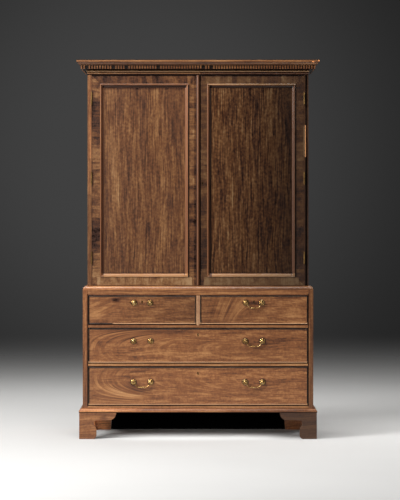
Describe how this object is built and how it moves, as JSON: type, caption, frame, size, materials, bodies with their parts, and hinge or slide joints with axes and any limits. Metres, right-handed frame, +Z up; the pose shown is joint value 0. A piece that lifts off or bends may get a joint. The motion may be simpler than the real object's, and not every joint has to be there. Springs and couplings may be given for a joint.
{
  "type": "linen press",
  "caption": "Two-stage cabinet: a cupboard with panelled doors and sliding trays under a dentil cornice, on a chest of drawers with bracket feet.",
  "frame": {"origin": "on the floor, in the middle of the overall width and depth", "axes": "+X to the right of someone facing the doors, +Y from the front to the back, +Z up"},
  "size_m": [1.272, 0.576, 1.985],
  "materials": {
    "case_sides": "waxed mahogany",
    "case_front_rails": "waxed mahogany",
    "mouldings": "waxed mahogany",
    "feet": "waxed mahogany",
    "door_frames": "crossbanded mahogany veneer, waxed",
    "door_panels": "mahogany, waxed",
    "door_mouldings": "mahogany, waxed",
    "drawer_fronts": "figured mahogany veneer, waxed",
    "oak_linings": "plain oak",
    "trays": "plain mahogany and oak",
    "deal": "plain deal",
    "brass": "lacquered brass, dulled"
  },
  "bodies": {
    "case": {"lower_side_left": "case_sides", "lower_side_right": "case_sides", "lower_top_board": "deal", "lower_bottom_board": "deal", "lower_back_boards": "deal", "drawer_rails": "case_front_rails", "drawer_divider": "case_front_rails", "dust_boards": "deal", "waist_moulding": "mouldings", "base_moulding": "mouldings", "foot_front_left": "feet", "foot_front_right": "feet", "foot_rear_left": "feet", "foot_rear_right": "feet", "upper_side_left": "case_sides", "upper_side_right": "case_sides", "upper_top_board": "deal", "upper_bottom_board": "deal", "upper_back_boards": "deal", "tray_runners": "deal", "hinge_case_leaves": "brass", "cornice_moulding": "mouldings", "cornice_dentils": "mouldings"},
    "left_door": {"left_door_frame": "door_frames", "left_door_panel": "door_panels", "left_door_moulding": "door_mouldings", "left_door_astragal": "door_mouldings", "left_door_hardware": "brass"},
    "left_door_top_bolt": {"left_door_top_bolt": "brass"},
    "left_door_bottom_bolt": {"left_door_bottom_bolt": "brass"},
    "right_door": {"right_door_frame": "door_frames", "right_door_panel": "door_panels", "right_door_moulding": "door_mouldings", "right_door_hardware": "brass"},
    "right_door_lock_bolt": {"right_door_lock_bolt": "brass"},
    "tray_1": {"tray_1": "trays"},
    "tray_2": {"tray_2": "trays"},
    "tray_3": {"tray_3": "trays"},
    "tray_4": {"tray_4": "trays"},
    "drawer_top_left": {"drawer_top_left_front": "drawer_fronts", "drawer_top_left_box": "oak_linings", "drawer_top_left_brasses": "brass"},
    "drawer_top_left_lock_bolt": {"drawer_top_left_lock_bolt": "brass"},
    "drawer_top_right": {"drawer_top_right_front": "drawer_fronts", "drawer_top_right_box": "oak_linings", "drawer_top_right_brasses": "brass"},
    "drawer_top_right_lock_bolt": {"drawer_top_right_lock_bolt": "brass"},
    "drawer_middle": {"drawer_middle_front": "drawer_fronts", "drawer_middle_box": "oak_linings", "drawer_middle_brasses": "brass"},
    "drawer_middle_lock_bolt": {"drawer_middle_lock_bolt": "brass"},
    "drawer_bottom": {"drawer_bottom_front": "drawer_fronts", "drawer_bottom_box": "oak_linings", "drawer_bottom_brasses": "brass"},
    "drawer_bottom_lock_bolt": {"drawer_bottom_lock_bolt": "brass"},
    "bail_top_right": {"bail_top_right": "brass"},
    "bail_middle_right": {"bail_middle_right": "brass"},
    "bail_bottom_left": {"bail_bottom_left": "brass"},
    "bail_bottom_right": {"bail_bottom_right": "brass"}
  },
  "joints": [
    {"name": "left_door_swing", "type": "hinge", "parent": "case", "child": "left_door", "pos_m": [-0.5585, -0.2365, 1.355], "axis": [0, 0, -1], "range_deg": [0, 178]},
    {"name": "right_door_swing", "type": "hinge", "parent": "case", "child": "right_door", "pos_m": [0.5585, -0.2365, 1.355], "axis": [0, 0, 1], "range_deg": [0, 178]},
    {"name": "left_door_top_bolt_slide", "type": "slide", "parent": "left_door", "child": "left_door_top_bolt", "axis": [0, 0, 1], "range_m": [0, 0.008]},
    {"name": "left_door_bottom_bolt_slide", "type": "slide", "parent": "left_door", "child": "left_door_bottom_bolt", "axis": [0, 0, -1], "range_m": [0, 0.008]},
    {"name": "right_door_lock_bolt_slide", "type": "slide", "parent": "right_door", "child": "right_door_lock_bolt", "axis": [-1, 0, 0], "range_m": [0, 0.008]},
    {"name": "tray_1_slide", "type": "slide", "parent": "case", "child": "tray_1", "axis": [0, -1, 0], "range_m": [0, 0.015]},
    {"name": "tray_2_slide", "type": "slide", "parent": "case", "child": "tray_2", "axis": [0, -1, 0], "range_m": [0, 0.015]},
    {"name": "tray_3_slide", "type": "slide", "parent": "case", "child": "tray_3", "axis": [0, -1, 0], "range_m": [0, 0.015]},
    {"name": "tray_4_slide", "type": "slide", "parent": "case", "child": "tray_4", "axis": [0, -1, 0], "range_m": [0, 0.015]},
    {"name": "drawer_top_left_slide", "type": "slide", "parent": "case", "child": "drawer_top_left", "axis": [0, -1, 0], "range_m": [0, 0.4]},
    {"name": "drawer_top_left_lock_bolt_slide", "type": "slide", "parent": "drawer_top_left", "child": "drawer_top_left_lock_bolt", "axis": [0, 0, 1], "range_m": [0, 0.008]},
    {"name": "drawer_top_right_slide", "type": "slide", "parent": "case", "child": "drawer_top_right", "axis": [0, -1, 0], "range_m": [0, 0.4]},
    {"name": "drawer_top_right_lock_bolt_slide", "type": "slide", "parent": "drawer_top_right", "child": "drawer_top_right_lock_bolt", "axis": [0, 0, 1], "range_m": [0, 0.008]},
    {"name": "drawer_middle_slide", "type": "slide", "parent": "case", "child": "drawer_middle", "axis": [0, -1, 0], "range_m": [0, 0.4]},
    {"name": "drawer_middle_lock_bolt_slide", "type": "slide", "parent": "drawer_middle", "child": "drawer_middle_lock_bolt", "axis": [0, 0, 1], "range_m": [0, 0.008]},
    {"name": "drawer_bottom_slide", "type": "slide", "parent": "case", "child": "drawer_bottom", "axis": [0, -1, 0], "range_m": [0, 0.4]},
    {"name": "drawer_bottom_lock_bolt_slide", "type": "slide", "parent": "drawer_bottom", "child": "drawer_bottom_lock_bolt", "axis": [0, 0, 1], "range_m": [0, 0.008]},
    {"name": "bail_top_right_swing", "type": "hinge", "parent": "drawer_top_right", "child": "bail_top_right", "pos_m": [0.293, -0.27, 0.713], "axis": [-1, 0, 0], "range_deg": [-20, 200]},
    {"name": "bail_middle_right_swing", "type": "hinge", "parent": "drawer_middle", "child": "bail_middle_right", "pos_m": [0.293, -0.27, 0.512], "axis": [-1, 0, 0], "range_deg": [-20, 200]},
    {"name": "bail_bottom_left_swing", "type": "hinge", "parent": "drawer_bottom", "child": "bail_bottom_left", "pos_m": [-0.293, -0.27, 0.2975], "axis": [-1, 0, 0], "range_deg": [-20, 200]},
    {"name": "bail_bottom_right_swing", "type": "hinge", "parent": "drawer_bottom", "child": "bail_bottom_right", "pos_m": [0.293, -0.27, 0.2975], "axis": [-1, 0, 0], "range_deg": [-20, 200]}
  ]
}
